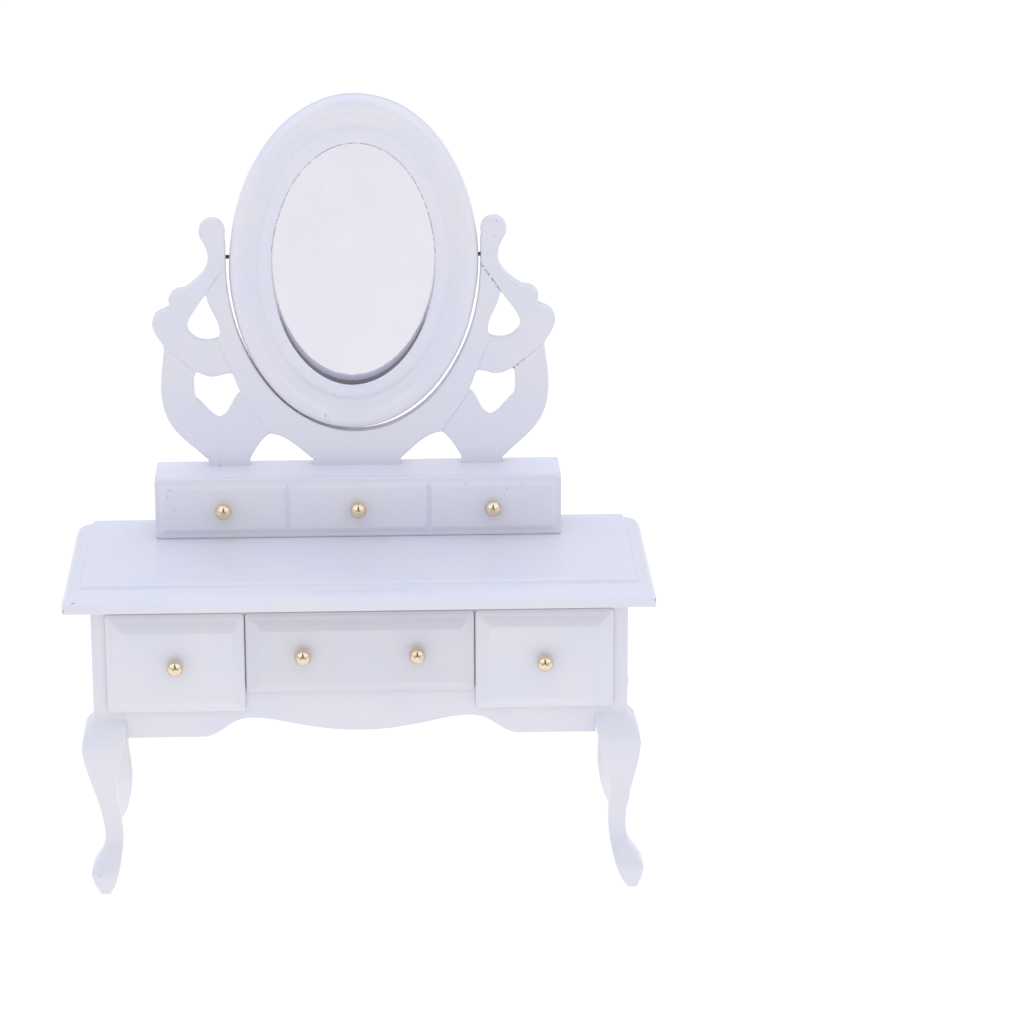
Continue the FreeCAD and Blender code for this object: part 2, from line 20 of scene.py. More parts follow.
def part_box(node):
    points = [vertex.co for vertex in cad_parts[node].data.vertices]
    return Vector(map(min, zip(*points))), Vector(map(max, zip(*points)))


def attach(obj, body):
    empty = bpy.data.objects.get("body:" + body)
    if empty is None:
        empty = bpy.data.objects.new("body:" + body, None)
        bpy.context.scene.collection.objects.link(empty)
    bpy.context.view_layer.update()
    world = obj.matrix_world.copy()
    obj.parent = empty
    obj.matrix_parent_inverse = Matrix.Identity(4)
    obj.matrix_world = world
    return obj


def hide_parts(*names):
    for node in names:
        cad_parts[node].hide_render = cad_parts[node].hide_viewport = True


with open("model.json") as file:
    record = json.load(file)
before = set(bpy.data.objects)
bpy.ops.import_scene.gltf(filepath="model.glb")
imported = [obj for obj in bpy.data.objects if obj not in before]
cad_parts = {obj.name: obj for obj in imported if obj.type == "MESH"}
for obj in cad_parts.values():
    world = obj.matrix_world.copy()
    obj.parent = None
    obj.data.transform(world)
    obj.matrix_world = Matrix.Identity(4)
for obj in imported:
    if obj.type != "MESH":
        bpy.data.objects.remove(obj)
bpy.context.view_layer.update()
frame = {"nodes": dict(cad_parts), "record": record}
BODY_OF = {node: body for body, nodes in frame["record"]["behaviour"]["bodies"].items() for node in nodes}
NODES = frame["nodes"]
MM = 0.001
noise.seed_set(7)  # the same unevenness in every run

# ---- driving sizes, in millimetres
PAINT_SOFTNESS = 0.15  # how far the paint blurs a moulding
YOKE_VOXEL = 0.2  # mesh size of the sawn yoke
YOKE_SMOOTHING = 14  # rounds of smoothing
LEG_VOXEL = 0.17
LEG_SMOOTHING = 26
ROOT = 1.2  # sawn pieces are melted this much longer, then cut level
BOARD_BEVEL = 0.12  # sanded edges of the thin boards
APRON_ROUND = 0.2  # sanded lower edge of the apron
GLUE_FILL = 0.06  # paint closes the hairlines between glued pieces

TOP_REACH_FRONT = 6.1  # width of the tabletop's moulding
TOP_REACH_SIDE = 4.0
TOP_LIP = 1.8
TOP_QUIRK_DROP = 0.75
TOP_QUIRK = 0.24
TOP_QUIRK_SUNK = 0.2
TOP_QUARTER_ROUND = 1.0
TOP_UNDER_ROUND = 0.3
TOP_CORNER = 0.5

FRONT_LIP = 0.8  # drawer fronts: flat lip, bevel, fine step
FRONT_LIP_DROP = 0.85
FRONT_BEVEL = 1.0
FRONT_STEP = 0.34
FRONT_STEP_DROP = 0.24
FRONT_CORNER = 0.7
FRONT_EDGE = 0.45  # width of the rounded outer edge
FRONT_EDGE_DROP = 0.4
# how much wider than that each side is cut: left, right, foot, top
FRONT_STRETCH = {
    "left_drawer_front": (1.45, 1.0, 0.95, 1.6),
    "centre_drawer_front": (1.4, 1.1, 0.85, 1.5),
    "right_drawer_front": (1.25, 1.2, 0.9, 1.4),
}

RISER_LIP = 0.95  # riser front: lip, bevel, V-grooves
RISER_BEVEL = 1.05
RISER_RELIEF = 0.55
RISER_GROOVE_AT = 14.2
RISER_GROOVE = 0.62
RISER_CORNER = 0.8

KNOB_STEPS = 56
KNOB_REACH = 1.72  # ball centre in front of the face
KNOB_NECK = 0.62
KNOB_COLLAR = 1.03

RING_STEPS = 420
RING_BESIDE = 8.6  # width of the mirror frame at its sides
RING_ABOVE = 9.4  # and at its top and foot
RING_SECTION = 9.2  # width that its section is drawn at, then stretched
RING_LEAN = math.radians(1.8)  # the oval hangs a little askew on its pins
RING_ASIDE = -0.3  # and a little to the left
RING_SLIMMER = 0.2  # taken off each side for the gap to the yoke
YOKE_ASIDE = 0.8  # the right arm of the yoke leans in by this much
YOKE_ASIDE_FROM = 24.0  # and does so fully from this far out
YOKE_CRACK = 0.35  # share of the lower right joint that has opened
SCORE_REACH = 1.2  # faces this near to a joint are cut along it
PIN_SHORTER = 1.1  # the right pin ends inside that arm
PLATE_STEPS = 160
PLATE_HIDDEN = 0.6  # glass and card reach this far behind the frame's lip

LEG_LEAN = 1.2  # all feet stand this far to the right of their blocks
LEG_SWELL = 0.2  # their blocks swell to meet the boards beside them
LEG_PROUD = 0.03  # what is left of the knee's step at its top
LEG_FILLET = 2.4  # height over which the knee runs out into the case
FOOT_SLIMMER = 0.3  # share by which their pads are smaller than sawn
FOOT_HIGH = 2.4  # height of the pads


# ---- node trees
class Tree:
    """A few short words for building a node tree."""

    def __init__(self, owner):
        owner.use_nodes = True
        self.nodes = owner.node_tree.nodes
        self.links = owner.node_tree.links
        self.nodes.clear()

    def add(self, kind, **inputs):
        node = self.nodes.new(kind)
        for name, value in inputs.items():
            self.set(node, name.replace("_", " "), value)
        return node

    def set(self, node, name, value):
        """Links a socket to an input, or gives the input a constant."""
        socket = node.inputs[name]
        if isinstance(value, bpy.types.NodeSocket):
            self.links.new(value, socket)
        else:
            socket.default_value = value

    def math(self, operation, a, b=0.0, c=0.0):
        node = self.nodes.new("ShaderNodeMath")
        node.operation = operation
        for index, value in enumerate((a, b, c)):
            self.set(node, index, value)
        return node.outputs[0]

    def times(self, a, b):
        return self.math("MULTIPLY", a, b)

    def plus(self, a, b):
        return self.math("ADD", a, b)

    def line(self, value, slope, start):
        return self.math("MULTIPLY_ADD", value, slope, start)

    def vector(self, operation, *values):
        node = self.nodes.new("ShaderNodeVectorMath")
        node.operation = operation
        for index, value in enumerate(values):
            self.set(node, index, value)
        return node.outputs

    def attribute(self, name):
        """A number that the mesh carries at each of its points."""
        node = self.add("ShaderNodeAttribute")
        node.attribute_name = name
        return node.outputs["Fac"]

    def parts(self, vector):
        """The X, Y and Z of a vector."""
        return self.add("ShaderNodeSeparateXYZ", Vector=vector).outputs

    def smooth(self, value, low, high, out_low=0.0, out_high=1.0):
        """A soft threshold from low to high."""
        node = self.add("ShaderNodeMapRange", Value=value, From_Min=low, From_Max=high,
                        To_Min=out_low, To_Max=out_high)
        node.interpolation_type = "SMOOTHSTEP"
        return node.outputs["Result"]

    def place(self, stretch=(1.0, 1.0, 1.0)):
        """Position on the piece in millimetres, stretched on each axis."""
        where = self.add("ShaderNodeTexCoord").outputs["Object"]
        return self.vector("MULTIPLY", where, tuple(s / MM for s in stretch))[0]

    def noise(self, where, size, detail=2.0, roughness=0.5):
        """Noise of a given size in millimetres."""
        node = self.add("ShaderNodeTexNoise", Vector=where, Scale=1.0 / size, Detail=detail,
                        Roughness=roughness)
        return node.outputs["Fac"]

    def specks(self, where, spacing, radius):
        """1 in small round spots, about one to a cell that meets the surface."""
        node = self.add("ShaderNodeTexVoronoi", Vector=where, Scale=1.0 / spacing)
        return self.smooth(node.outputs["Distance"], radius / spacing, 0.4 * radius / spacing)

    def mix(self, share, a, b):
        """A colour between a and b."""
        node = self.nodes.new("ShaderNodeMix")
        node.data_type = "RGBA"
        for index, value in ((0, share), (6, a), (7, b)):
            self.set(node, index, value)
        return node.outputs[2]

    def bump(self, height, strength, distance):
        node = self.add("ShaderNodeBump", Height=height, Strength=strength, Distance=distance * MM)
        return node.outputs["Normal"]

    def out(self, kind, socket):
        """The output node that takes what the tree has made."""
        self.links.new(socket, self.add(kind).inputs["Surface"])

    def surface(self, colour, roughness, normal=None, **constants):
        """The Principled shader and the output."""
        if normal is not None:
            constants["Normal"] = normal
        shader = self.add("ShaderNodeBsdfPrincipled", Base_Color=colour, Roughness=roughness, **constants)
        self.out("ShaderNodeOutputMaterial", shader.outputs["BSDF"])


def material(name):
    made = bpy.data.materials.new(name)
    return made, Tree(made)


def rgb(red, green, blue):
    """A linear colour from a display one, each from 0 to 255."""
    def linear(value):
        value /= 255
        return value / 12.92 if value <= 0.04045 else ((value + 0.055) / 1.055) ** 2.4
    return (linear(red), linear(green), linear(blue), 1.0)


# ---- materials
PAINT = rgb(226, 224, 233)
PAINT_WARM = rgb(227, 225, 231)
PAINT_COOL = rgb(223, 222, 234)
GRIME = rgb(120, 112, 112)
CHIP = rgb(138, 120, 114)


def chip_mask(tree, where, chips):
    """1 inside any of the chips, each (x, y, z, size across, size high) in millimetres."""
    ragged = tree.noise(where, 0.35, 3.0, 0.7)
    total = None
    for x, y, z, across, high in chips:
        offset = tree.vector("SUBTRACT", where, (x, y, z))[0]
        scaled = tree.vector("MULTIPLY", offset, (1 / across, 0.2 / across, 1 / high))[0]
        length = tree.vector("LENGTH", scaled)["Value"]
        edge = tree.plus(length, tree.line(ragged, 1.6, -0.8))
        spot = tree.smooth(edge, 1.0, 0.75)
        total = spot if total is None else tree.math("MAXIMUM", total, spot)
    return total


def lacquer(name, chips=(), shade=1.0, seam=False, opening=False):
    """Thick white satin paint, with a few specks, chips and dark seams.

    shade: scales the paint's colour; above 1 is painted light, below 1 is painted shade.
    seam: the mesh carries the distances to the nearest glued joint and open joint.
    opening: the mesh carries marks for the wall and the edge of the mirror's opening, on which shade is
    painted.
    """
    made, tree = material(name)
    where = tree.place()
    broad = tree.noise(where, 14.0, 2.0)
    fine = tree.noise(where, 1.3, 3.0, 0.6)
    # shade scales all three tones: painted light above 1, painted shade below 1
    warm, cool, plain = ([value * shade for value in paint[:3]] + [1.0]
                         for paint in (PAINT_WARM, PAINT_COOL, PAINT))
    colour = tree.mix(tree.smooth(broad, 0.35, 0.65), warm, cool)
    colour = tree.mix(tree.smooth(fine, 0.3, 0.7, 0.0, 0.55), colour, plain)
    dust = tree.specks(where, 7.5, 0.14)
    colour = tree.mix(tree.times(dust, 0.55), colour, GRIME)
    height = tree.times(dust, -0.4)
    if chips:
        bare = chip_mask(tree, where, chips)
        colour = tree.mix(tree.times(bare, 0.6), colour, CHIP)
        height = tree.plus(height, tree.times(bare, -1.0))
    if seam:
        crack = tree.smooth(tree.attribute("crack_mm"), 0.2, 0.04)
        broken = tree.smooth(tree.noise(where, 0.9, 3.0, 0.7), 0.46, 0.54)
        colour = tree.mix(tree.times(crack, broken), colour, GRIME)
        furrow = tree.smooth(tree.attribute("seam_mm"), 0.7, 0.0)
        height = tree.plus(height, tree.times(furrow, -0.7))
    if opening:
        # painted shade: the opening's wall is darkened at its foot, most towards the frame's front, in
        # patches
        wall, low, rim = (tree.attribute(mark) for mark in ("wall", "low", "rim"))
        patchy = tree.line(tree.noise(where, 0.5, 4.0, 0.75), 0.7, -0.35)
        wall_shade_depth = tree.plus(wall, patchy)
        wall_shade = tree.mix(tree.smooth(wall_shade_depth, -0.1, 0.3), rgb(196, 194, 212), rgb(104, 99, 104))
        there = tree.smooth(tree.plus(low, patchy), 0.32, 0.55)
        there = tree.times(there, tree.smooth(wall, 0.01, 0.03))
        colour = tree.mix(there, colour, wall_shade)
        # painted shade: a dashed dark line along the opening's upper edge
        dashes = tree.smooth(tree.noise(where, 1.1, 3.0, 0.7), 0.4, 0.5)
        colour = tree.mix(tree.times(tree.times(rim, dashes), 0.85), colour, rgb(96, 92, 96))
    peel = tree.noise(where, 0.9, 2.0)
    waves = tree.noise(where, 6.0, 1.0)
    relief = tree.plus(tree.times(peel, 0.12), tree.times(waves, 0.8))
    normal = tree.bump(tree.plus(relief, height), 0.35, 0.06)
    roughness = tree.smooth(fine, 0.3, 0.7, 0.3, 0.4)
    tree.surface(colour, roughness, normal, Coat_Weight=0.25, Coat_Roughness=0.18, IOR=1.5)
    return made


def brass():
    """Polished turned brass, stained in places."""
    made, tree = material("brass")
    where = tree.place()
    rings = tree.noise(tree.place((0.5, 6.0, 0.5)), 1.0, 3.0, 0.6)
    stain = tree.noise(where, 1.1, 3.0, 0.6)
    colour = tree.mix(tree.smooth(stain, 0.4, 0.75), (0.80, 0.70, 0.52, 1), (0.76, 0.58, 0.39, 1))
    normal = tree.bump(rings, 0.25, 0.01)
    roughness = tree.smooth(stain, 0.3, 0.8, 0.1, 0.22)
    tree.surface(colour, roughness, normal, Metallic=1.0)
    return made


def copper():
    """Dull copper-brown wire with flecks of paint."""
    made, tree = material("copper")
    where = tree.place()
    patch = tree.noise(where, 0.4, 3.0, 0.7)
    colour = tree.mix(tree.smooth(patch, 0.4, 0.65), rgb(150, 84, 56), rgb(92, 56, 46))
    colour = tree.mix(tree.smooth(tree.noise(where, 0.6, 2.0), 0.66, 0.7), colour, PAINT)
    tree.surface(colour, tree.smooth(patch, 0.3, 0.7, 0.3, 0.55), tree.bump(patch, 0.4, 0.03), Metallic=0.8)
    return made


def mirror(half_width, half_height, middle):
    """Silvered glass. A mottled film at the foot of the opening is overspray, and also a painted reflection
    of the wall with painted shade next to the frame.
    """
    made, tree = material("mirror")
    where = tree.place()
    square = tree.add("ShaderNodeVectorRotate", Vector=where)
    square.rotation_type = "Y_AXIS"
    square.inputs["Center"].default_value = (RING_ASIDE, 0.0, middle)
    square.inputs["Angle"].default_value = -RING_LEAN
    x, _, z = tree.parts(square.outputs["Vector"])
    across = tree.math("DIVIDE", tree.math("SUBTRACT", x, RING_ASIDE), half_width)
    inside = tree.line(across, tree.times(across, -1.0), 1.0)
    root = tree.math("SQRT", tree.math("MAXIMUM", inside, 0.0))
    edge = tree.line(root, -half_height, middle)
    above = tree.math("SUBTRACT", z, edge)
    ragged = tree.noise(where, 0.45, 4.0, 0.75)
    foot = tree.smooth(z, middle - 0.3 * half_height, middle - 0.6 * half_height)
    reach = tree.times(tree.line(ragged, 0.8, 0.85), foot)
    film = tree.smooth(tree.math("SUBTRACT", reach, above), 0.0, 0.16)
    # painted shade and painted reflection: the film's tone is darker next to the frame
    tone = tree.mix(tree.smooth(above, 0.1, 1.1), rgb(206, 204, 224), rgb(228, 227, 244))
    mottle = tree.smooth(tree.noise(where, 0.25, 3.0, 0.8), 0.5, 0.72)
    tone = tree.mix(tree.times(mottle, 0.4), tone, rgb(140, 138, 150))
    haze = tree.noise(where, 9.0, 3.0)
    silver = tree.mix(tree.smooth(haze, 0.3, 0.7), rgb(225, 222, 230), rgb(222, 219, 229))
    dust = tree.times(tree.specks(where, 9.0, 0.08), 0.3)
    colour = tree.mix(film, tree.mix(dust, silver, rgb(190, 188, 200)), tone)
    cover = tree.math("SUBTRACT", 1.0, film)
    roughness = tree.mix(film, (0.03, 0.03, 0.03, 1), (0.6, 0.6, 0.6, 1))
    tree.surface(colour, roughness, tree.bump(mottle, 0.2, 0.02), Metallic=cover)
    return made


def bare_wood(name, along, painted_to=None):
    """Pale, close-grained wood, sawn and unfinished. along: axis of the grain.

    painted_to: depth up to which the front end is painted, in a grey that also paints the shade in the gaps
    between drawers.
    """
    made, tree = material(name)
    stretch = [1.0, 1.0, 1.0]
    stretch[along] = 0.06
    fibres = tree.noise(tree.place(tuple(stretch)), 0.35, 4.0, 0.65)
    bands = tree.noise(tree.place(tuple(stretch)), 2.6, 3.0, 0.6)
    colour = tree.mix(tree.smooth(bands, 0.35, 0.65), rgb(224, 202, 168), rgb(208, 180, 142))
    colour = tree.mix(tree.smooth(fibres, 0.35, 0.75, 0.0, 0.6), colour, rgb(186, 152, 112))
    pores = tree.smooth(fibres, 0.62, 0.75)
    colour = tree.mix(tree.times(pores, 0.35), colour, rgb(142, 108, 76))
    if painted_to is not None:
        # overspray on the front end, greyed as painted shade for the gaps between the drawer fronts
        ragged = tree.plus(tree.parts(tree.place())[1], bands)
        paint = tree.mix(fibres, rgb(196, 194, 202), rgb(206, 204, 212))
        colour = tree.mix(tree.smooth(ragged, painted_to + 0.7, painted_to + 0.5), colour, paint)
    normal = tree.bump(fibres, 0.5, 0.05)
    tree.surface(colour, tree.smooth(fibres, 0.3, 0.7, 0.55, 0.75), normal)
    return made


def card():
    """Brown backing card, pressed from flecked pulp."""
    made, tree = material("backing_card")
    where = tree.place()
    pulp = tree.noise(where, 0.6, 5.0, 0.75)
    strands = tree.noise(tree.place((0.25, 1.0, 1.6)), 0.5, 4.0, 0.7)
    colour = tree.mix(pulp, rgb(150, 126, 100), rgb(118, 97, 76))
    colour = tree.mix(tree.smooth(strands, 0.58, 0.7, 0.0, 0.5), colour, rgb(178, 158, 132))
    tree.surface(colour, tree.smooth(pulp, 0.2, 0.8, 0.7, 0.9), tree.bump(strands, 0.5, 0.05))
    return made


# ---- mesh tools
@functools.lru_cache(maxsize=None)
def box_mm(node):
    """(x0, x1, y0, y1, z0, z1) of a CAD node, in millimetres."""
    low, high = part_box(node)
    return tuple(value / MM for axis in range(3) for value in (low[axis], high[axis]))


def in_scene(name, data):
    """A new object in the scene."""
    made = bpy.data.objects.new(name, data)
    bpy.context.scene.collection.objects.link(made)
    return made


def coat(mesh, finish):
    mesh.materials.clear()
    mesh.materials.append(finish)


def show(node, ending, mesh, finish):
    """A new piece that stands for a CAD node and moves with its body."""
    made = in_scene(node + ending, mesh)
    coat(mesh, finish)
    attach(made, BODY_OF[node])
    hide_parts(node)


def mark_points(mesh, name, values):
    """Gives each point of the mesh a number that its paint reads."""
    mesh.attributes.new(name, "FLOAT", "POINT").data.foreach_set("value", values)


def clamp(value):
    return max(0.0, min(1.0, value))


def eased(share):
    """A share from 0 to 1 that starts and ends gently."""
    share = clamp(share)
    return share * share * (3 - 2 * share)


def band(one, other):
    """Faces between two closed rings, each a list of point numbers."""
    count = len(one)
    return [(one[k], one[(k + 1) % count], other[(k + 1) % count], other[k]) for k in range(count)]


def mesh_from(name, points, faces, sharp_angle=40):
    """A mesh from points in millimetres."""
    mesh = bpy.data.meshes.new(name)
    mesh.from_pydata([tuple(value * MM for value in point) for point in points], [], faces)
    mesh.validate()
    finish_mesh(mesh, sharp_angle)
    return mesh


def editable(mesh):
    work = bmesh.new()
    work.from_mesh(mesh)
    return work


def finish_mesh(mesh, sharp_angle=40):
    """Outward faces, smooth shading, and sharp edges kept above an angle."""
    work = editable(mesh)
    bmesh.ops.recalc_face_normals(work, faces=work.faces)
    work.to_mesh(mesh)
    work.free()
    mesh.shade_smooth()
    mesh.set_sharp_from_angle(angle=math.radians(sharp_angle))


def cad_copy(node):
    """A welded copy of a CAD node, with each flat side as one face."""
    work = editable(NODES[node].data)
    bmesh.ops.remove_doubles(work, verts=work.verts, dist=0.002 * MM)
    bmesh.ops.dissolve_limit(work, angle_limit=math.radians(0.5), verts=work.verts, edges=work.edges)
    return work


def to_mesh(work, name, sharp_angle=40):
    mesh = bpy.data.meshes.new(name)
    work.to_mesh(mesh)
    work.free()
    finish_mesh(mesh, sharp_angle)
    return mesh


def evaluated(mesh, modifiers):
    """An editable copy of the mesh after a list of (modifier type, settings)."""
    holder = in_scene("work", mesh)
    for kind, settings in modifiers:
        modifier = holder.modifiers.new(kind.lower(), kind)
        for key, value in settings.items():
            setattr(modifier, key, value)
    graph = bpy.context.evaluated_depsgraph_get()
    result = bpy.data.meshes.new_from_object(holder.evaluated_get(graph), depsgraph=graph)
    bpy.data.objects.remove(holder)
    return editable(result)


def rounded(mesh, voxel, smoothing):
    """The shape melted into a fine mesh and smoothed, so that its edges turn round."""
    return evaluated(mesh, [
        ("REMESH", {"mode": "VOXEL", "voxel_size": voxel * MM, "adaptivity": 0.0}),
        ("SMOOTH", {"factor": 0.5, "iterations": max(2, smoothing)}),
    ])


def wobble(work, size, amount, seed):
    """Gentle unevenness of hand sanding. size and amount in millimetres."""
    shift = Vector((seed * 7.1, seed * 3.3, seed * 5.7))
    for vert in work.verts:
        spot = vert.co / (size * MM)
        vert.co += noise.noise_vector(spot + shift) * amount * MM


def cut_level(work, z, keep_above):
    """Cuts everything on one side of a level and closes the cut."""
    geometry = work.verts[:] + work.edges[:] + work.faces[:]
    cut = bmesh.ops.bisect_plane(work, geom=geometry, dist=1e-7, plane_co=(0, 0, z * MM),
                                 plane_no=(0, 0, 1), clear_inner=keep_above,
                                 clear_outer=not keep_above)
    edges = [item for item in cut["geom_cut"] if isinstance(item, bmesh.types.BMEdge)]
    bmesh.ops.holes_fill(work, edges=edges, sides=0)


# ---- relief boards: tabletop, drawer fronts, riser front
def blurred(distances, levels):
    """A moulding's section after the paint has run over it."""
    step = 0.02
    fine = np.arange(distances[0] - 1.0, distances[-1] + 1.0, step)
    raw = np.interp(fine, distances, levels)
    reach = np.arange(-4 * PAINT_SOFTNESS, 4 * PAINT_SOFTNESS + step, step)
    kernel = np.exp(-0.5 * (reach / PAINT_SOFTNESS) ** 2)
    kernel /= kernel.sum()
    padded = np.pad(raw, len(kernel) // 2, mode="edge")
    return fine, np.convolve(padded, kernel, mode="valid")[: len(fine)]


def soft_minimum(a, b, reach):
    """The smaller of two distances, blended where they are close, as at a mitre."""
    share = np.clip(0.5 + 0.5 * (b - a) / reach, 0, 1)
    return b + (a - b) * share - reach * share * (1 - share)


def grid_lines(low, high, marks, fine=0.09, coarse=2.5, halo=0.5):
    """Grid lines from low to high: close together near the marks, wide apart elsewhere."""
    lines = {round(low, 4), round(high, 4)}
    for start, end in marks:
        count = max(2, round((end - start + 2 * halo) / fine))
        for step in range(count + 1):
            value = start - halo + (end - start + 2 * halo) * step / count
            if low < value < high:
                lines.add(round(value, 4))
    ordered = sorted(lines)
    filled = [ordered[0]]
    for value in ordered[1:]:
        gap = value - filled[-1]
        if gap < 0.02 and value != ordered[-1]:
            continue
        parts = math.ceil(gap / coarse)
        start = filled[-1]
        filled += [start + gap * (part + 1) / parts for part in range(parts)]
    return np.array(filled)


def round_plan(us, vs, bounds, radius, corners):
    """Bends the grid at the named plan corners into quarter circles."""
    u0, u1, v0, v1 = bounds
    for side_u, side_v in corners:
        edge_u, edge_v = (u0, u1)[side_u], (v0, v1)[side_v]
        out_u, out_v = (-1, 1)[side_u], (-1, 1)[side_v]
        a = np.clip(1 - (edge_u - us) * out_u / radius, 0, None)
        b = np.clip(1 - (edge_v - vs) * out_v / radius, 0, None)
        inside = (a > 0) & (b > 0)
        round_a = a * np.sqrt(1 - b ** 2 / 2)
        round_b = b * np.sqrt(1 - a ** 2 / 2)
        us = np.where(inside, edge_u - out_u * radius * (1 - round_a), us)
        vs = np.where(inside, edge_v - out_v * radius * (1 - round_b), vs)
    return us, vs


def relief_mesh(name, us, vs, levels, skirt, place):
    """A solid board: a carved face over a grid, sides, and a flat back.

    us, vs and levels are arrays over the grid. skirt lists (inset, level) from
    the face to the back. place turns (u, v, level) into a point.
    """
    rows, columns = levels.shape
    points = [place(us[i, j], vs[i, j], levels[i, j]) for i in range(rows) for j in range(columns)]
    faces = [(i * columns + j, i * columns + j + 1, (i + 1) * columns + j + 1, (i + 1) * columns + j)
             for i in range(rows - 1) for j in range(columns - 1)]
    rim = [(0, j) for j in range(columns)]
    rim += [(i, columns - 1) for i in range(1, rows)]
    rim += [(rows - 1, j) for j in range(columns - 2, -1, -1)]
    rim += [(i, 0) for i in range(rows - 2, 0, -1)]
    u0, u1, v0, v1 = us.min(), us.max(), vs.min(), vs.max()
    above = [i * columns + j for i, j in rim]
    for inset, level in skirt:
        ring = []
        for i, j in rim:
            u = min(max(us[i, j], u0 + inset), u1 - inset)
            v = min(max(vs[i, j], v0 + inset), v1 - inset)
            ring.append(len(points))
            points.append(place(u, v, level))
        faces += band(above, ring)
        above = ring
    faces.append(tuple(above))
    return mesh_from(name, points, faces)


def ovolo(start, end, steps=14):
    """Points of an arc that leaves start steeply and ends level at end."""
    run, rise = end[0] - start[0], end[1] - start[1]
    radius = (run ** 2 + rise ** 2) / (2 * rise)
    turn = math.asin(min(1.0, run / radius))
    angles = [turn * (1 - step / steps) for step in range(steps + 1)]
    return [(end[0] - radius * math.sin(a), end[1] - radius * (1 - math.cos(a))) for a in angles]


def top_section(reach, under, top):
    """The tabletop's moulding as (distance in, height)."""
    quirk_at, quirk_z = reach - TOP_QUARTER_ROUND, top - TOP_QUIRK_DROP
    lower = ovolo((0.0, under + TOP_LIP), (quirk_at, quirk_z))
    upper = ovolo((quirk_at + TOP_QUIRK, quirk_z + TOP_QUIRK), (reach, top))
    return lower + [(quirk_at + TOP_QUIRK / 2, quirk_z - TOP_QUIRK_SUNK)] + upper


def tabletop(paint):
    x0, x1, y0, y1, under, top = box_mm("tabletop")
    sides, front = (top_section(reach, under, top) for reach in (TOP_REACH_SIDE, TOP_REACH_FRONT))

    def lines(low, high, left, right):
        values = {low, high}
        for section, edge, direction in ((left, low, 1), (right, high, -1)):
            if section:
                exact = [edge + direction * d for d, _ in section]
                values.update(exact)
                values.update((p + q) / 2 for p, q in zip(exact, exact[1:]))
                values.add(edge + direction * (section[-1][0] + 0.4))
        return np.array(sorted(values))

    xs = lines(x0, x1, sides, sides)
    ys = lines(y0, y1, front, None)
    xs = np.array(sorted(set(xs) | set(np.linspace(x0 + 6, x1 - 6, 40))))
    ys = np.array(sorted(set(ys) | set(np.linspace(y0 + 6, y1, 16))))
    us, vs = np.meshgrid(xs, ys, indexing="ij")
    side_d = np.minimum(us - x0, x1 - us)

    def soft(section, distances):
        ds, zs = zip(*section)
        fine, levels = blurred(ds, zs)
        raw = np.interp(distances, ds, zs)
        soft_levels = np.interp(distances, fine, levels)
        keep = np.clip(distances / 0.5, 0, 1)
        return raw * (1 - keep) + soft_levels * keep

    levels = soft_minimum(soft(sides, side_d), soft(front, vs - y0), 0.18)
    us, vs = round_plan(us, vs, (x0, x1, y0, y1), TOP_CORNER, ((0, 0), (1, 0)))
    turn = TOP_UNDER_ROUND
    skirt = [(0.0, under + turn), (0.08 * turn, under + 0.6 * turn), (0.3 * turn, under + 0.3 * turn),
             (0.62 * turn, under + 0.08 * turn), (turn, under)]
    mesh = relief_mesh("tabletop", us, vs, levels, skirt, lambda u, v, w: (u, v, w))
    show("tabletop", ".painted", mesh, paint)


def carved(node, us, vs, face, corner, paint):
    """A front board from its carved face, with rounded corners."""
    box = box_mm(node)
    us, vs = round_plan(us, vs, box[:2] + box[4:], corner, ((0, 0), (0, 1), (1, 0), (1, 1)))
    mesh = relief_mesh(node, us, vs, face, [(0.0, box[3])], lambda u, v, w: (u, w, v))
    show(node, ".painted", mesh, paint)


def drawer_front(node, paint):
    """Lip, bevel, fine step and raised field, all softened by paint."""
    x0, x1, y0, _, z0, z1 = box_mm(node)
    left, right, foot, top = FRONT_STRETCH[node]
    lip_y = y0 + FRONT_LIP_DROP
    step_y = y0 + FRONT_STEP_DROP
    bevel_end = FRONT_LIP + FRONT_BEVEL
    crest = bevel_end + FRONT_STEP
    distances = [0.0, FRONT_EDGE / 3, FRONT_EDGE, FRONT_LIP, bevel_end, crest - 0.15, crest, crest + 2.0]
    levels = [lip_y + FRONT_EDGE_DROP, lip_y + 0.15, lip_y, lip_y - 0.05, step_y, step_y - 0.03, y0, y0]
    fine, soft = blurred(distances, levels)
    marks_x = [(x0, x0 + crest * left), (x1 - crest * right, x1)]
    marks_z = [(z0, z0 + crest * foot), (z1 - crest * top, z1)]
    xs, zs = grid_lines(x0, x1, marks_x), grid_lines(z0, z1, marks_z)
    us, vs = np.meshgrid(xs, zs, indexing="ij")
    across = np.minimum((us - x0) / left, (x1 - us) / right)
    high = np.minimum((vs - z0) / foot, (z1 - vs) / top)
    inward = soft_minimum(across, high, 0.35)
    face = np.interp(np.clip(inward, 0, None), fine, soft)
    carved(node, us, vs, face, FRONT_CORNER, paint)


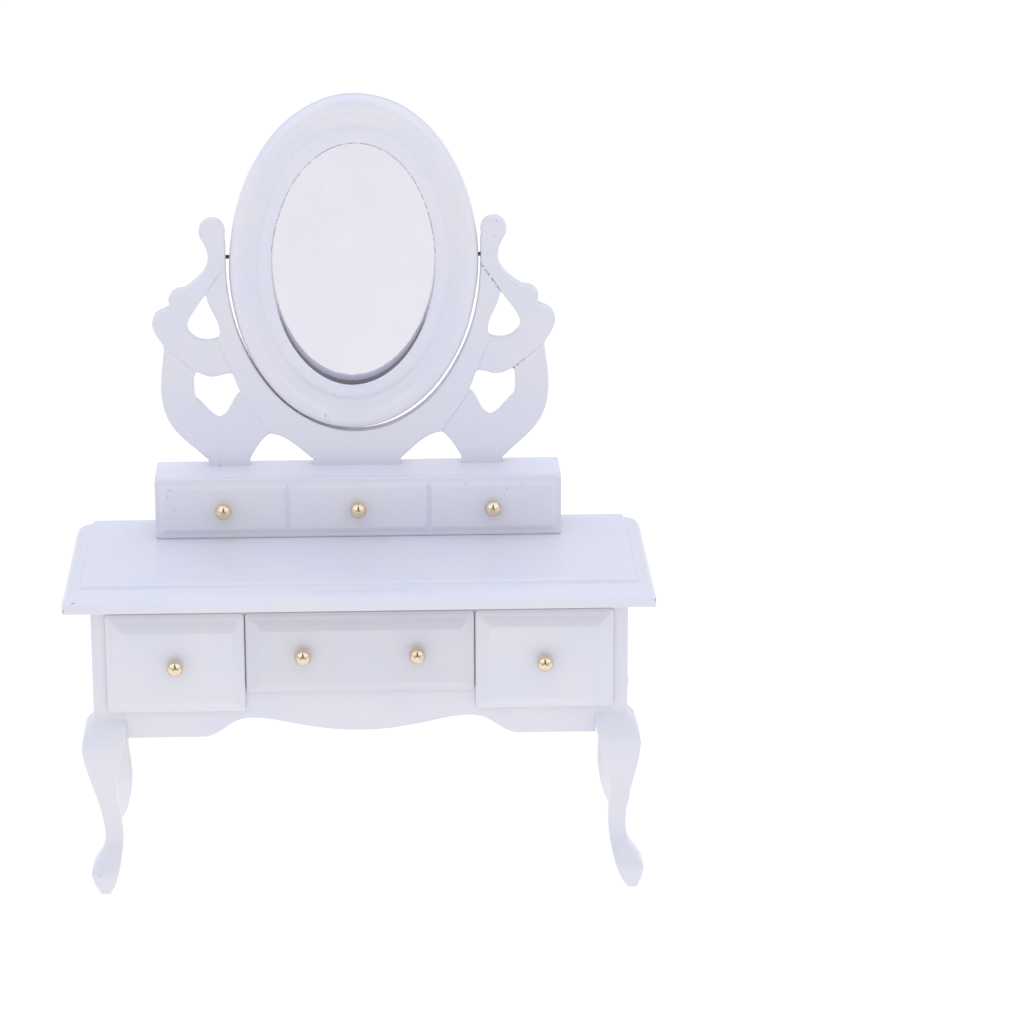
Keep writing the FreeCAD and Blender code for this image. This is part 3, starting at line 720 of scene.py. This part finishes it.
def riser_front(paint):
    """One board with a lip all round and three raised dummy drawer fields."""
    node = "riser_front"
    x0, x1, y0, _, z0, z1 = box_mm(node)
    lip_y = y0 + RISER_RELIEF
    bevel_end = RISER_LIP + RISER_BEVEL
    steps = [0.0, 0.05, 0.15, RISER_LIP, bevel_end, bevel_end + 3]
    levels = [lip_y + 0.3, lip_y + 0.1, lip_y, lip_y, y0, y0]
    fine, soft = blurred(steps, levels)
    marks_x = [(x0, x0 + bevel_end), (x1 - bevel_end, x1)]
    for groove in (-RISER_GROOVE_AT, RISER_GROOVE_AT):
        marks_x.append((groove - RISER_GROOVE, groove + RISER_GROOVE))
    marks_z = [(z0, z0 + bevel_end), (z1 - bevel_end, z1)]
    xs, zs = grid_lines(x0, x1, marks_x, halo=0.4), grid_lines(z0, z1, marks_z)
    us, vs = np.meshgrid(xs, zs, indexing="ij")
    inward = soft_minimum(np.minimum(us - x0, x1 - us), np.minimum(vs - z0, z1 - vs), 0.35)
    face = np.interp(np.clip(inward, 0, None), fine, soft)
    fine, soft = blurred([-1.0, 0.05, RISER_GROOVE, 4.0], [lip_y, lip_y, y0, y0])
    for groove in (-RISER_GROOVE_AT, RISER_GROOVE_AT):
        face = np.maximum(face, np.interp(np.abs(us - groove), fine, soft))
    carved(node, us, vs, face, RISER_CORNER, paint)


# ---- boards
def round_edges(work, edges, width, segments):
    bmesh.ops.bevel(work, geom=edges, offset=width * MM, segments=segments, profile=0.5,
                    affect="EDGES", clamp_overlap=True)


def painted_board(node, paint, chosen=None):
    """A board as the frame has it. chosen picks the edges that are rounded."""
    work = cad_copy(node)
    if chosen:
        edges = [edge for edge in work.edges if len(edge.link_faces) == 2 and chosen(edge)]
        round_edges(work, edges, APRON_ROUND, 4)
    show(node, ".painted", to_mesh(work, node), paint)


def lower_front(edge):
    """True for the front edges that look down, clear of the joint with the legs."""
    one, two = (face.normal for face in edge.link_faces)
    joint = box_mm("left_front_leg")[5]
    clear = all(vert.co.z / MM < joint - 0.1 for vert in edge.verts)
    return clear and (min(-one.y, -two.z) > 0.3 or min(-two.y, -one.z) > 0.3)


def wooden_board(node, paint):
    work = cad_copy(node)
    round_edges(work, work.edges[:], BOARD_BEVEL, 3)
    show(node, ".sawn", to_mesh(work, node), paint)


# ---- legs
def flush(value, edge, out, below):
    """Draws the knee's outer face back to the case's face near its top."""
    beyond = (value - edge) * out
    share = eased(below / LEG_FILLET)
    if beyond < -0.5 or share >= 1.0:
        return value
    return edge + out * (beyond * share + LEG_PROUD * (1 - share))


def cabriole_leg(node, paint, seed):
    """A sawn and sanded leg. Its top stays flat, where it is glued to the case."""
    top = box_mm(node)[5]
    work = cad_copy(node)
    for vert in work.verts:
        if vert.co.z > (top - 0.01) * MM:
            vert.co.z += ROOT * MM
    work = rounded(to_mesh(work, node), LEG_VOXEL, LEG_SMOOTHING)
    cut_level(work, top + GLUE_FILL, keep_above=False)
    work.normal_update()
    side, end = "right" in node, "rear" in node
    out_x, out_y = (-1, 1)[side], (-1, 1)[end]
    panel = box_mm("right_side_panel" if side else "left_side_panel")
    panel_x, panel_y = panel[side], panel[2 + end]
    pad = [vert.co for vert in work.verts if vert.co.z < 0.4 * MM]
    pad_middle = sum(pad, Vector()) / len(pad)
    for vert in work.verts:
        high = vert.co.z / MM
        swell = clamp((high - top + 5.0) / 3.0) * LEG_SWELL * MM
        vert.co.x += vert.normal.x * swell
        vert.co.y += vert.normal.y * swell
        vert.co.x = flush(vert.co.x / MM, panel_x, out_x, top - high) * MM
        vert.co.y = flush(vert.co.y / MM, panel_y, out_y, top - high) * MM
        slimmer = FOOT_SLIMMER * max(0.0, 1 - high / FOOT_HIGH) ** 1.5
        vert.co.x += (pad_middle.x - vert.co.x) * slimmer
        vert.co.y += (pad_middle.y - vert.co.y) * slimmer
        vert.co.x += LEG_LEAN * MM * max(0.0, 1 - high / top) ** 1.5
    wobble(work, 14.0, 0.12, 11 + seed)
    show(node, ".sanded", to_mesh(work, node), paint)


# ---- knobs
def turned_knob(node, paint):
    """A brass ball on a waisted neck and a thin collar, turned about the Y axis."""
    x0, x1, y0, y1, z0, z1 = box_mm(node)
    radius = (z1 - z0) / 2
    middle_x, middle_z = (x0 + x1) / 2, (z0 + z1) / 2
    centre = y0 + radius
    face = centre + KNOB_REACH
    start = math.asin(KNOB_NECK / radius)
    section = [(radius * math.sin(a), centre - radius * math.cos(a))
               for a in np.linspace(0.0, math.pi - start, 30)]
    section += [(KNOB_NECK, face - 0.26), (KNOB_NECK + 0.1, face - 0.22), (KNOB_COLLAR - 0.05, face - 0.2),
                (KNOB_COLLAR, face - 0.14), (KNOB_COLLAR, face - 0.02), (KNOB_COLLAR - 0.05, face),
                (0.4, face), (0.4, y1 - 0.35), (0.0, y1)]
    points = [(middle_x, section[0][1], middle_z)]
    rings = []
    for r, y in section[1:-1]:
        rings.append(len(points))
        for step in range(KNOB_STEPS):
            turn = 2 * math.pi * step / KNOB_STEPS
            points.append((middle_x + r * math.cos(turn), y, middle_z + r * math.sin(turn)))
    tip = len(points)
    points.append((middle_x, y1, middle_z))
    faces = []
    for k in range(KNOB_STEPS):
        nxt = (k + 1) % KNOB_STEPS
        faces.append((0, rings[0] + nxt, rings[0] + k))
        faces += [(a + k, a + nxt, b + nxt, b + k) for a, b in zip(rings, rings[1:])]
        faces.append((rings[-1] + k, rings[-1] + nxt, tip))
    show(node, ".turned", mesh_from(node, points, faces, 50), paint)


# ---- yoke
YOKE = ["yoke_crescent"] + [f"{side}_yoke_{part}" for side in ("left", "right")
                            for part in ("scroll", "bracket", "foot")]


def shared_corners(one, other):
    """(x, z) corners that two yoke nodes have in common, from the top down."""
    spots = []
    for node in (one, other):
        corners = NODES[node].data.vertices
        spots.append({(round(v.co.x / MM, 2), round(v.co.z / MM, 2)) for v in corners})
    return sorted(spots[0] & spots[1], key=lambda spot: -spot[1])


def yoke_joints():
    """Glued joints as pairs of (x, z) ends."""
    joints = []
    for side in ("left", "right"):
        scroll, bracket, foot = (f"{side}_yoke_{part}" for part in ("scroll", "bracket", "foot"))
        pairs = (("yoke_crescent", scroll), ("yoke_crescent", foot), (scroll, bracket), (bracket, foot))
        for one, other in pairs:
            corners = shared_corners(one, other)
            joints += list(zip(corners[::2], corners[1::2]))
    return joints


def open_joints():
    """The two open joints at the right, the lower one only at its inner end."""
    upper = shared_corners("yoke_crescent", "right_yoke_scroll")[:2]
    lower = shared_corners("right_yoke_scroll", "right_yoke_bracket")[:2]
    outer, inner = sorted(lower, reverse=True)
    end = [a + YOKE_CRACK * (b - a) for a, b in zip(inner, outer)]
    return [upper, (inner, end)]


def segment_distance(x, z, joint):
    (ax, az), (bx, bz) = joint
    length = (bx - ax) ** 2 + (bz - az) ** 2
    along = clamp(((x - ax) * (bx - ax) + (z - az) * (bz - az)) / length)
    return math.hypot(x - ax - along * (bx - ax), z - az - along * (bz - az))


def score(work, joint):
    """Cuts edges into the melted yoke along a joint, where it will be parted."""
    (ax, az), (bx, bz) = joint
    geometry = set()
    for face in work.faces:
        middle = face.calc_center_median() / MM
        if segment_distance(middle.x, middle.z, joint) < SCORE_REACH:
            geometry.update([face], face.edges, face.verts)
    normal = Vector((bz - az, 0, ax - bx)).normalized()
    bmesh.ops.bisect_plane(work, geom=list(geometry), dist=1e-7, plane_co=(ax * MM, 0, az * MM),
                           plane_no=normal)


def faces_by_piece(work):
    """The faces of the melted yoke, each under the sawn piece that it is nearest to."""
    trees = {}
    for node in YOKE:
        mesh = NODES[node].data
        corners = [vert.co for vert in mesh.vertices]
        trees[node] = BVHTree.FromPolygons(corners, [tuple(face.vertices) for face in mesh.polygons])
    groups = {node: [] for node in YOKE}
    for face in work.faces:
        middle = face.calc_center_median()
        gaps = {}
        for node in YOKE:
            x0, x1, _, _, z0, z1 = box_mm(node)
            if x0 - 1 < middle.x / MM < x1 + 1 and z0 - 1 < middle.z / MM < z1 + 1:
                gaps[node] = trees[node].find_nearest(middle)[3]
        groups[min(gaps, key=gaps.get)].append(face)
    return groups


def yoke(paint):
    """The yoke, melted as one so that paint runs over its joints, then parted."""
    foot_z = box_mm("yoke_crescent")[4]
    joined = bmesh.new()
    for node in YOKE:
        work = cad_copy(node)
        for vert in work.verts:
            if vert.co.z < (foot_z + 0.01) * MM:
                vert.co.z -= ROOT * MM
        joined.from_mesh(to_mesh(work, node))
    work = rounded(to_mesh(joined, "yoke"), YOKE_VOXEL, YOKE_SMOOTHING)
    wobble(work, 11.0, 0.1, 3)
    cut_level(work, foot_z, keep_above=True)
    joints, cracks = yoke_joints(), open_joints()
    for joint in joints:
        score(work, joint)
    for node, faces in faces_by_piece(work).items():
        piece = bmesh.new()
        copies = {}
        for face in faces:
            for vert in face.verts:
                if vert not in copies:
                    copies[vert] = piece.verts.new(vert.co)
            piece.faces.new([copies[vert] for vert in face.verts])
        open_edges = [edge for edge in piece.edges if edge.is_boundary]
        bmesh.ops.holes_fill(piece, edges=open_edges, sides=0)
        mesh = to_mesh(piece, node, 55)
        for name, lines in (("seam_mm", joints), ("crack_mm", cracks)):
            near = [min(segment_distance(v.co.x / MM, v.co.z / MM, joint) for joint in lines)
                    for v in mesh.vertices]
            mark_points(mesh, name, near)
        for vert in mesh.vertices:
            vert.co.x -= YOKE_ASIDE * MM * eased(vert.co.x / MM / YOKE_ASIDE_FROM)
        show(node, ".sanded", mesh, paint)


# ---- mirror
def ring_section(front, back):
    """Section of the frame as (distance in from the outer edge, depth, wall).

    wall is 0 on the moulded face, 1 where the opening starts and falls towards the glass; the paint reads
    it to paint shade on the wall.
    """
    face = [(0.0, 2.4), (0.02, 1.7), (0.18, 1.02), (0.55, 0.45), (1.1, 0.12), (1.8, 0.0), (2.5, 0.1),
            (3.05, 0.34), (3.55, 0.66), (4.3, 0.86), (5.1, 0.94), (5.8, 0.9), (6.15, 0.84), (6.35, 0.52),
            (6.6, 0.36), (7.2, 0.24), (7.9, 0.2), (8.5, 0.24), (8.95, 0.36), (9.12, 0.5)]
    points = np.array(face)
    length = np.concatenate([[0], np.cumsum(np.hypot(*np.diff(points, axis=0).T))])
    even = np.linspace(0, length[-1], 64)
    fine = np.stack([np.interp(even, length, points[:, k]) for k in (0, 1)], axis=1)
    kernel = np.array([1, 4, 6, 4, 1]) / 16
    for _ in range(2):
        padded = np.pad(fine, ((2, 2), (0, 0)), mode="edge")
        softer = np.stack([np.convolve(padded[:, k], kernel, mode="valid") for k in (0, 1)], axis=1)
        softer[0], softer[-1] = fine[0], fine[-1]
        fine = softer
    section = [(t, front + d, 0.0) for t, d in fine]
    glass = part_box("mirror_glass")[0].y / MM
    start = section[-1][1] + 0.1
    section.append((RING_SECTION - 0.02, start, 1.0))
    for share in np.linspace(0.1, 1.0, 8):
        section.append((RING_SECTION, start + (glass - start) * share, 1.0 - 0.95 * share))
    rebate = RING_SECTION - 1.1
    section += [(rebate, glass, 0.0), (rebate, back, 0.0), (0.35, back, 0.0), (0.1, back - 0.1, 0.0),
                (0.0, back - 0.35, 0.0)]
    return section


def oval_point(turn, inward):
    """(x, z) on the oval that lies inward of the frame's outer edge, both in millimetres."""
    x0, x1, _, _, z0, z1 = box_mm("mirror_frame")
    share = inward / RING_SECTION
    x = ((x1 - x0) / 2 - RING_SLIMMER - RING_BESIDE * share) * math.cos(turn)
    z = ((z1 - z0) / 2 - RING_ABOVE * share) * math.sin(turn)
    lean_x = x * math.cos(RING_LEAN) + z * math.sin(RING_LEAN)
    lean_z = z * math.cos(RING_LEAN) - x * math.sin(RING_LEAN)
    return RING_ASIDE + lean_x, (z0 + z1) / 2 + lean_z


def mirror_frame(paint):
    """The oval frame, swept round its centre."""
    node = "mirror_frame"
    y0, y1 = box_mm(node)[2:4]
    section = ring_section(y0, y1)
    count = len(section)
    points, walls, lows, rims = [], [], [], []
    for step in range(RING_STEPS):
        turn = 2 * math.pi * step / RING_STEPS
        for inward, y, wall in section:
            x, z = oval_point(turn, inward)
            points.append((x, y, z))
            walls.append(wall)
            # low and rim pick where shade is painted: the wall's foot and the opening's upper edge
            lows.append(max(0.0, -math.sin(turn)))
            at_edge = RING_SECTION - inward < 0.1 and y < y0 + 0.9
            rims.append(1.0 if at_edge and math.sin(turn) > 0.1 else 0.0)
    faces = []
    for step in range(RING_STEPS):
        here, there = step * count, (step + 1) % RING_STEPS * count
        faces += band(range(here, here + count), range(there, there + count))
    mesh = mesh_from(node, points, faces, 50)
    for vert in mesh.vertices:
        uneven = noise.noise_vector(vert.co / (9.0 * MM) + Vector((4.2, 0.5, 9.1)))
        front = clamp(y0 + 3.0 - vert.co.y / MM)
        vert.co.x += uneven.x * 0.12 * MM
        vert.co.z += uneven.z * 0.12 * MM
        vert.co.y += uneven.y * 0.1 * front * MM
    for name, values in (("wall", walls), ("low", lows), ("rim", rims)):
        mark_points(mesh, name, values)
    mesh.set_sharp_from_angle(angle=math.radians(50))
    show(node, ".moulded", mesh, paint)


def shorter_pin(node, finish):
    """A pivot pin that ends inside the arm that leans in."""
    x0, x1 = box_mm(node)[:2]
    work = cad_copy(node)
    for vert in work.verts:
        if vert.co.x / MM > (x0 + x1) / 2:
            vert.co.x -= PIN_SHORTER * MM
    show(node, ".drawn", to_mesh(work, node), finish)


def oval_plate(node, finish, ending):
    """Glass or card behind the frame's lip, with a slightly eased edge."""
    y0, y1 = box_mm(node)[2:4]
    rim, ease = RING_SECTION - PLATE_HIDDEN, 0.08
    levels = [(rim + ease, y0), (rim, y0 + ease), (rim, y1 - ease), (rim + ease, y1)]
    steps = PLATE_STEPS
    points = []
    for inward, y in levels:
        for step in range(steps):
            x, z = oval_point(2 * math.pi * step / steps, inward)
            points.append((x, y, z))
    faces = [tuple(range(steps)), tuple(range(3 * steps, 4 * steps))]
    for low in range(0, 3 * steps, steps):
        faces += band(range(low, low + steps), range(low + steps, low + 2 * steps))
    show(node, ending, mesh_from(node, points, faces, 20), finish)


# ---- build
X0, X1, Y0, _, Z0, _ = box_mm("tabletop")
plain_paint = lacquer("white_lacquer")
top_paint = lacquer("white_lacquer_top", [
    (X0 + 0.3, Y0 + 0.4, Z0 + 0.8, 0.2, 0.3), (X0 + 2.2, Y0 + 1.2, Z0 + 2.2, 0.5, 0.1),
    (X1 - 0.2, Y0 + 0.3, Z0 + 1.5, 0.2, 0.3), (X0 + 1.2, Y0 + 2.2, Z0 + 2.4, 0.12, 0.2)])
tabletop(top_paint)

painted_board("front_apron", plain_paint, lower_front)
for plain in ("left_side_panel", "right_side_panel", "back_panel", "top_rail"):
    painted_board(plain, plain_paint)
# the riser block's paint is lightened: painted light
painted_board("riser_block", lacquer("white_lacquer_block", shade=1.07))

LEG_X, _, LEG_Y, _, _, _ = box_mm("left_front_leg")
scuffs = [(LEG_X + 2.7, LEG_Y + 0.8, 4.8, 0.25, 0.12), (LEG_X + 3.5, LEG_Y + 0.8, 5.0, 0.2, 0.1),
          (LEG_X + 3.2, LEG_Y + 0.8, 4.5, 0.3, 0.08), (LEG_X + 4.2, LEG_Y + 0.8, 4.7, 0.15, 0.12)]
scuffed_paint = lacquer("white_lacquer_scuffed", scuffs)
# the rear legs' paint is lightened: painted light
rear_lit_paint = lacquer("white_lacquer_rear", shade=1.08)
leg_paints = {"left_front": scuffed_paint, "right_front": plain_paint, "left_rear": rear_lit_paint,
              "right_rear": rear_lit_paint}
for seed, (place_name, leg_paint) in enumerate(leg_paints.items()):
    cabriole_leg(place_name + "_leg", leg_paint, seed)

# the centre drawer front's paint is greyed: painted shade
centre_shaded_paint = lacquer("white_lacquer_centre", shade=0.925)
for drawer, front_paint in (("left", plain_paint), ("centre", centre_shaded_paint), ("right", plain_paint)):
    drawer_front(drawer + "_drawer_front", front_paint)
RISER_X0, RISER_X1, RISER_Y, _, _, RISER_Z = box_mm("riser_front")
marks = [(RISER_X0 + 3.0, 2.0), (RISER_X0 + 2.6, 3.4), (RISER_X0 + 4.0, 6.3), (RISER_X1 - 7.8, 1.6),
         (RISER_X1 - 19.2, 1.6), (RISER_X1 - 11.0, 2.6)]
riser_front(lacquer("white_lacquer_riser", [(x, RISER_Y, RISER_Z - down, 0.14, 0.14) for x, down in marks]))

along_depth, along_width = bare_wood("bare_wood_deep", 1), bare_wood("bare_wood_wide", 0)
nose = box_mm("left_partition")[2] + 1.5
nose_with_painted_shade = bare_wood("bare_wood_nose", 1, nose)
for node in sorted(NODES):
    if node.endswith("partition"):
        wooden_board(node, nose_with_painted_shade)
    elif node.endswith(("_left_side", "_right_side", "_bottom")):
        wooden_board(node, along_depth)
    elif node.endswith(("_drawer_back", "dust_board")):
        wooden_board(node, along_width)

gold = brass()
for node in sorted(NODES):
    if node.endswith("knob"):
        turned_knob(node, gold)

YOKE_Y = box_mm("yoke_crescent")[2]
yoke(lacquer("white_lacquer_yoke", [(28.3, YOKE_Y, 127.0, 0.16, 0.2), (27.9, YOKE_Y, 123.9, 0.12, 0.16)],
             seam=True))
ring_box = box_mm("mirror_frame")
RING_Z = (ring_box[4] + ring_box[5]) / 2
flecks = [(-6.4, -31.0, 0.14, 0.4), (-8.8, -31.6, 0.3, 0.08), (-10.9, -28.9, 0.1, 0.1),
          (-4.4, -26.7, 0.1, 0.1), (-3.3, -28.9, 0.14, 0.1), (6.3, -30.6, 0.1, 0.14),
          (-5.8, -32.3, 0.2, 0.1), (20.6, 12.9, 0.08, 0.16), (20.6, 11.0, 0.08, 0.14),
          (-8.6, 28.0, 0.12, 0.1)]
ring_flecks = [(x, ring_box[2] + 0.3, RING_Z + high, across, tall) for x, high, across, tall in flecks]
# the mirror frame's paint is lightened (painted light), and shade is painted on its opening's wall and edge
mirror_frame(lacquer("white_lacquer_mirror", ring_flecks, shade=1.03, opening=True))

open_half_width = (ring_box[1] - ring_box[0]) / 2 - RING_SLIMMER - RING_BESIDE
open_half_height = (ring_box[5] - ring_box[4]) / 2 - RING_ABOVE
silvered = mirror(open_half_width, open_half_height, RING_Z)
oval_plate("mirror_glass", silvered, ".silvered")
oval_plate("mirror_backing", card(), ".cut")
wire = copper()
coat(NODES["left_pivot_pin"].data, wire)
shorter_pin("right_pivot_pin", wire)


# ---- floor, light and camera
def floor():
    """A pale lit sheet under the table."""
    made, tree = material("floor")
    glow = tree.add("ShaderNodeEmission", Color=(1.0, 1.0, 1.0, 1.0), Strength=1.13)
    matt = tree.add("ShaderNodeBsdfDiffuse", Color=(0.9, 0.9, 0.92, 1.0))
    both = tree.add("ShaderNodeMixShader", Fac=0.1)
    tree.links.new(glow.outputs[0], both.inputs[1])
    tree.links.new(matt.outputs[0], both.inputs[2])
    tree.out("ShaderNodeOutputMaterial", both.outputs[0])
    mesh = bpy.data.meshes.new("floor")
    corners = [(-6.0, -6.0, 0), (6.0, -6.0, 0), (6.0, 6.0, 0), (-6.0, 6.0, 0)]
    mesh.from_pydata(corners, [], [(0, 1, 2, 3)])
    mesh.materials.append(made)
    sheet = in_scene("floor", mesh)
    sheet.location.z = -0.02 * MM


def sky():
    """White all round, a little brighter at the sides, pale blue above."""
    world = bpy.data.worlds.new("studio")
    bpy.context.scene.world = world
    tree = Tree(world)
    x, _, z = tree.parts(tree.add("ShaderNodeTexCoord").outputs["Generated"])
    colour = tree.mix(tree.smooth(z, 0.0, 0.9), (0.90, 0.90, 0.925, 1), (0.84, 0.90, 1.0, 1))
    beside = tree.times(x, x)
    high = tree.math("MAXIMUM", z, 0.0)
    strength = tree.line(beside, 0.04, 0.69)
    strength = tree.line(high, 0.66, strength)
    shade = tree.add("ShaderNodeBackground", Color=colour, Strength=strength)
    tree.out("ShaderNodeOutputWorld", shade.outputs[0])


def card_beside_camera(name, quads, strength=0.0):
    """Dark or glowing panels round the camera, only seen as reflections."""
    made, tree = material(name)
    dim = tree.noise(tree.place((0.01, 0.01, 0.01)), 1.0, 2.0)
    tone = tree.mix(dim, (0.02, 0.018, 0.016, 1), (0.035, 0.03, 0.028, 1))
    if strength:
        tree.surface(tone, 1.0, Emission_Color=(1.0, 0.97, 0.93, 1.0), Emission_Strength=strength)
    else:
        tree.surface(tone, 1.0, Specular_IOR_Level=0.0)
    mesh = bpy.data.meshes.new(name)
    corners = [corner for quad in quads for corner in quad]
    mesh.from_pydata(corners, [], [tuple(range(first, first + 4)) for first in range(0, len(corners), 4)])
    mesh.materials.append(made)
    panel = in_scene(name, mesh)
    panel.visible_camera = False
    panel.visible_diffuse = False
    panel.visible_shadow = False


def camera():
    """0.72 m in front of the tabletop's edge, looking 18 degrees down."""
    data = bpy.data.cameras.new("camera")
    data.sensor_width = 36.0
    data.lens = 138.12
    data.shift_x = 0.0730
    data.shift_y = 0.0409
    eye = in_scene("camera", data)
    eye.location = (0.00145, -0.743696, 0.303049)
    yaw, pitch, roll = 0.019, 0.311, -0.0075
    forward = Vector((math.cos(pitch) * math.sin(yaw), math.cos(pitch) * math.cos(yaw), -math.sin(pitch)))
    level = Vector((math.cos(yaw), -math.sin(yaw), 0))
    down = forward.cross(level)
    right = level * math.cos(roll) - down * math.sin(roll)
    down = level * math.sin(roll) + down * math.cos(roll)
    turn = Matrix((right, -down, -forward)).transposed()
    eye.rotation_euler = turn.to_euler()
    bpy.context.scene.camera = eye


floor()
sky()
overhead = [
    [(-0.15, -0.9, 0.28), (0.15, -0.9, 0.28), (0.2, -0.9, 1.4), (-0.2, -0.9, 1.4)],
    [(-0.2, -0.9, 1.4), (0.2, -0.9, 1.4), (0.12, -0.35, 1.4), (-0.12, -0.35, 1.4)],
]
below = [[(side * 0.02, -0.85, 0.36), (side * 0.05, -0.85, 0.12), (side * 0.1, -0.14, 0.001),
          (side * 0.14, -0.16, 0.001)] for side in (-1, 1)]
beside = [[(side * 0.35, -0.75, 0.45), (side * 1.0, -0.2, 0.3), (side * 0.8, 0.1, 1.2),
           (side * 0.3, -0.5, 1.3)] for side in (-1, 1)]
card_beside_camera("dark_overhead", overhead)
card_beside_camera("dark_below", below)
card_beside_camera("glowing", beside, 1.3)
camera()
bpy.context.scene.view_settings.view_transform = "Standard"
bpy.context.scene.view_settings.look = "None"
